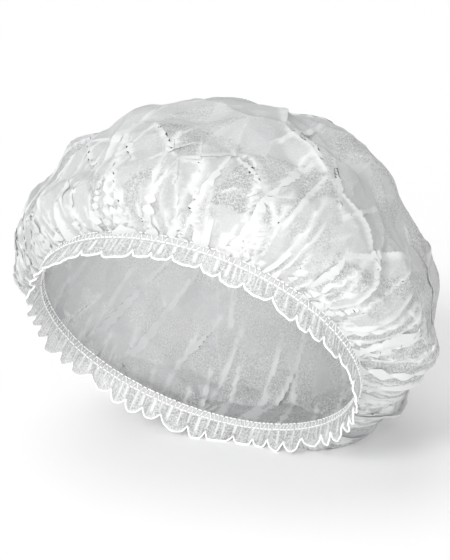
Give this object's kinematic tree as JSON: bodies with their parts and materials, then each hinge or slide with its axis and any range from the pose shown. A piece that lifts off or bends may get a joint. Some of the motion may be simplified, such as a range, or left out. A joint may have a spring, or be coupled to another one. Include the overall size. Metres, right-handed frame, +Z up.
{
  "type": "disposable hair cover cap",
  "caption": "Gathered bouffant cap of thin white nonwoven cloth with an elastic band and a scalloped ruffle round its opening, lying open to the front.",
  "frame": {"origin": "on the table, under the middle of the cap's box", "axes": "+Z up from the table, +X to the right across the opening, +Y away from the viewer, so the opening faces -Y"},
  "size_m": [0.2396, 0.2156, 0.1998],
  "materials": {
    "nonwoven_cloth": "thin crumpled spunbond cloth, slightly see-through",
    "elastic": "white elastic sewn down with two rows of thread"
  },
  "bodies": {
    "root": {"crown": "nonwoven_cloth", "elastic_band": "elastic", "ruffle": "nonwoven_cloth"}
  },
  "joints": []
}
